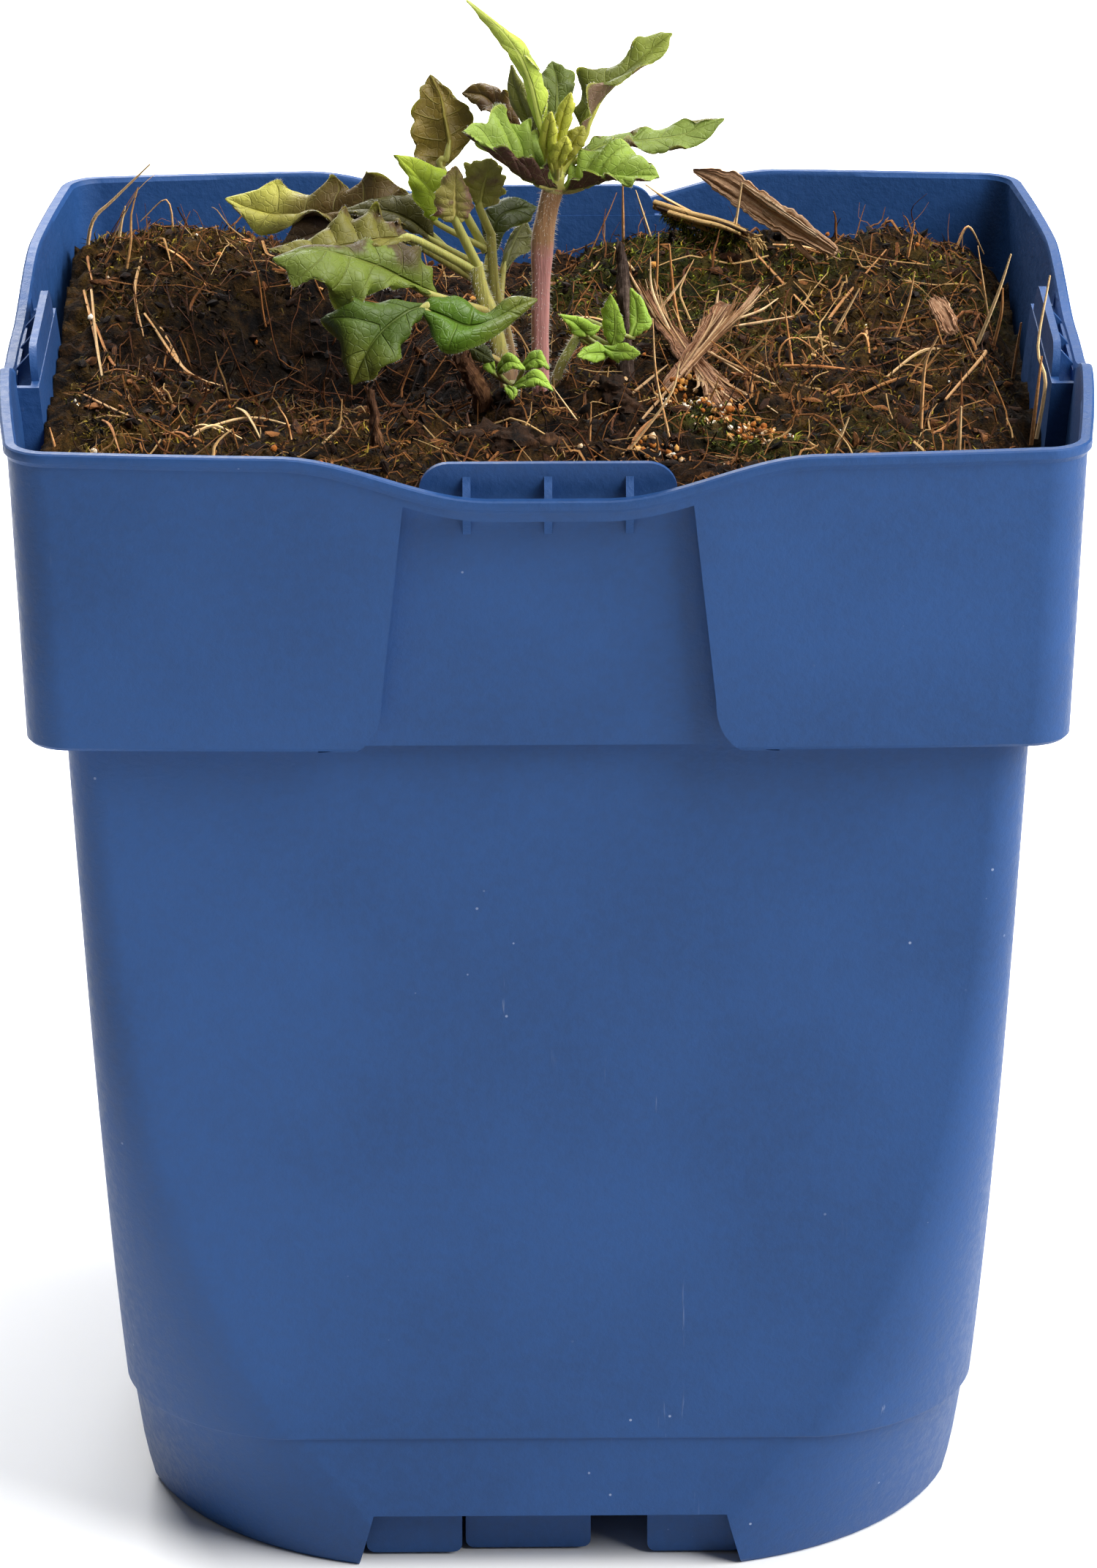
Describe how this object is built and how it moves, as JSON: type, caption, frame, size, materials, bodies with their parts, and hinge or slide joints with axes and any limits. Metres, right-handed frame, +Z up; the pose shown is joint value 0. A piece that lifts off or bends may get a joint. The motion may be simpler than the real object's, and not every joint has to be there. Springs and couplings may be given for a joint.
{
  "type": "potted fleur giant hyssop",
  "caption": "Young fleur giant hyssop with scalloped green and purple leaves, growing from peaty soil in a blue square plastic garden pot.",
  "frame": {"origin": "on the ground under the middle of the pot", "axes": "+Z up, the pot's front side faces -Y, +X to the right of one who looks at the front"},
  "size_m": [0.1154, 0.1154, 0.1644],
  "materials": {
    "pot_plastic": "satin blue moulded plastic with fine mottling and dust",
    "soil": "dark crumbly peat with straw coloured roots and patches of moss",
    "main_leaves": "matte light green leaves with purple undersides",
    "left_leaves": "matte green leaves flushed with purple",
    "young_leaves": "soft green young leaves",
    "old_stem": "dark weathered dead stem",
    "bark": "dry fibrous bark",
    "mossy_wood": "dry stick with moss"
  },
  "bodies": {
    "root": {"pot": "pot_plastic", "soil": "soil", "main_shoot": "main_leaves", "left_shoot_front": "left_leaves", "left_shoot_back": "left_leaves", "crown_shoot": "young_leaves", "right_shoot": "young_leaves", "stub_dark": "old_stem", "stub_left": "old_stem", "stub_far_left": "old_stem", "bark_strip": "bark", "mossy_stick": "mossy_wood", "bark_bunch": "bark", "bark_chip": "bark"}
  },
  "joints": []
}
